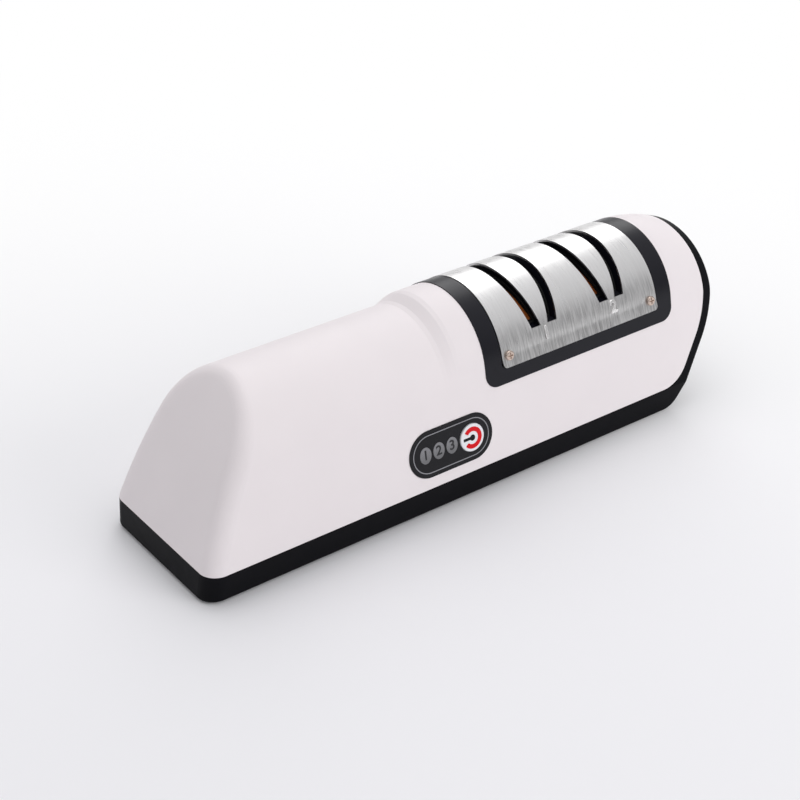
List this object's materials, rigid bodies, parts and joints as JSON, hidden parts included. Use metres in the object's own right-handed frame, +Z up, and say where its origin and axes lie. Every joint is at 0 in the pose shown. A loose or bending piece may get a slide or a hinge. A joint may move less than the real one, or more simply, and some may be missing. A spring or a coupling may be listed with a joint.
{
  "type": "electric knife sharpener",
  "caption": "Cordless electric knife sharpener: long rounded case, raised head with a slotted steel plate over grinding wheels, and a small front panel with a power button.",
  "frame": {"origin": "centre of the footprint, on the surface that the feet stand on", "axes": "+X along the body from the handle to the sharpening head, +Y from the control panel to the back, +Z up"},
  "size_m": [0.2324, 0.065, 0.0684],
  "materials": {
    "white_shell": "satin",
    "black_base": "satin",
    "black_bezel": "satin",
    "slot_plate": "brushed",
    "screw_steel": "machined",
    "guide_black": "moulded",
    "wheel_ceramic": "fine grit",
    "hub_aluminium": "turned",
    "turned_steel": "turned",
    "bearing_bronze": "sintered",
    "inner_frame": "moulded",
    "motor_iron": "laminated",
    "cell_wrap": "wrapped",
    "panel_black": "polished",
    "window_grey": "smooth",
    "lights": "smooth",
    "button_white": "polished",
    "ring_red": "smooth",
    "mark_black": "smooth",
    "switch_black": "moulded",
    "board_green": "varnished",
    "socket_steel": "plated",
    "foot_rubber": "matt"
  },
  "bodies": {
    "housing": {"base_shell": "black_base", "battery_cells": "cell_wrap", "battery_contacts": "bearing_bronze", "battery_tray": "inner_frame", "block_screws": "screw_steel", "board_screws": "screw_steel", "case_screws": "screw_steel", "charging_board": "board_green", "charging_socket": "socket_steel", "coarse_guide": "guide_black", "control_board": "board_green", "control_panel": "panel_black", "fine_guide": "guide_black", "head_bezel": "black_bezel", "left_bearing_block": "inner_frame", "left_bush": "bearing_bronze", "motor_can": "turned_steel", "motor_cradle": "inner_frame", "motor_end_cap": "inner_frame", "motor_magnets": "motor_iron", "motor_strap": "turned_steel", "plate_screws": "screw_steel", "right_bearing_block": "inner_frame", "right_bush": "bearing_bronze", "rubber_feet": "foot_rubber", "slot_plate": "slot_plate", "status_lights": "lights", "status_windows": "window_grey", "strap_screws": "screw_steel", "tact_switch": "switch_black", "upper_shell": "white_shell"},
    "drive": {"motor_rotor": "motor_iron", "shaft_coupling": "bearing_bronze", "drive_shaft": "turned_steel", "fine_wheel": "wheel_ceramic", "coarse_wheel": "wheel_ceramic", "fine_hub": "hub_aluminium", "coarse_hub": "hub_aluminium", "wheel_washers": "turned_steel", "shaft_spacers": "hub_aluminium", "lock_nut": "screw_steel"},
    "button": {"power_button": "button_white", "button_ring": "ring_red", "button_mark": "mark_black", "switch_plunger": "switch_black"}
  },
  "joints": [
    {"name": "drive_spin", "type": "hinge", "parent": "housing", "child": "drive", "pos_m": [0, 0, 0.0389], "axis": [1, 0, 0], "continuous": true},
    {"name": "button_press", "type": "slide", "parent": "housing", "child": "button", "axis": [0, 0.9817, -0.1905], "range_m": [0, 0.0007], "stiffness_N_per_m": 400, "springref_m": -0.0005}
  ]
}
